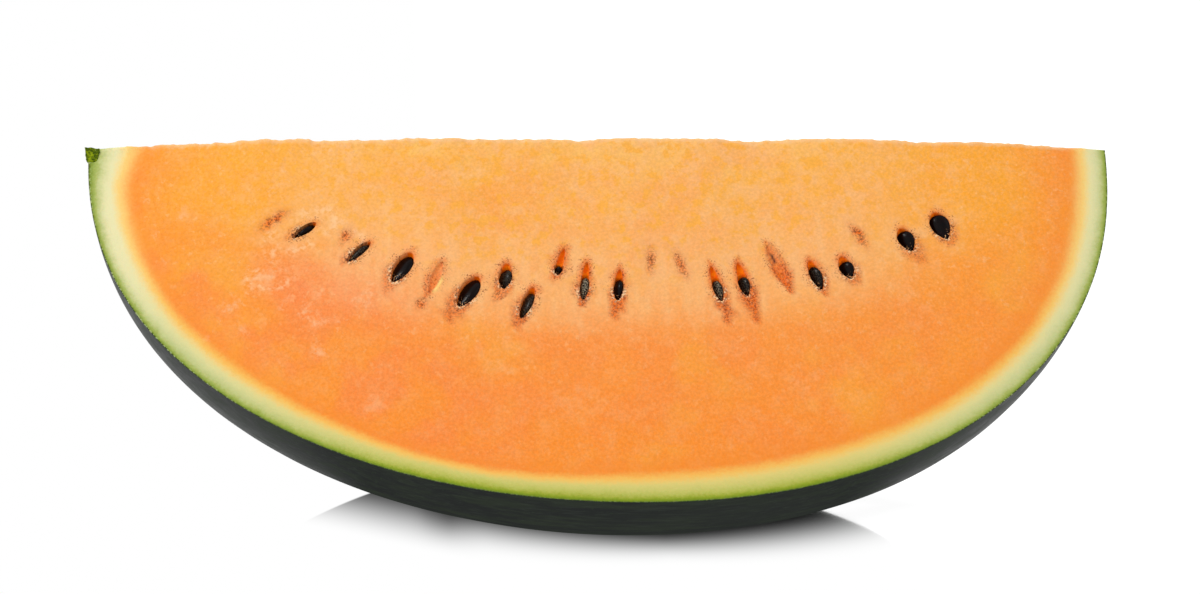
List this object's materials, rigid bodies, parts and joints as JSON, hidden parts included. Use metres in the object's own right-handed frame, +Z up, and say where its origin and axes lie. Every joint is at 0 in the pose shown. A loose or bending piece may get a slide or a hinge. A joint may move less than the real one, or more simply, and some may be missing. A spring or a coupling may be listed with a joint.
{
  "type": "watermelon wedge",
  "caption": "Quarter of an orange-fleshed watermelon, cut lengthwise, lying on its dark green rind, with dark seeds in both cut faces.",
  "frame": {"origin": "middle of the wedge's bounding box, on the surface that it lies on", "axes": "+X along the melon from its stem end to its blossom end, +Y from the front cut face to the back one, +Z up towards the cut edge"},
  "size_m": [0.301, 0.1608, 0.1166],
  "materials": {
    "flesh": "moist orange melon flesh, finely grained, paler near the rind",
    "rind": "smooth dark green skin with a soft sheen",
    "seed": "wet brown-black seed coat",
    "stem": "rough corky stem scar"
  },
  "bodies": {
    "root": {"watermelon_wedge": "flesh"}
  },
  "joints": []
}
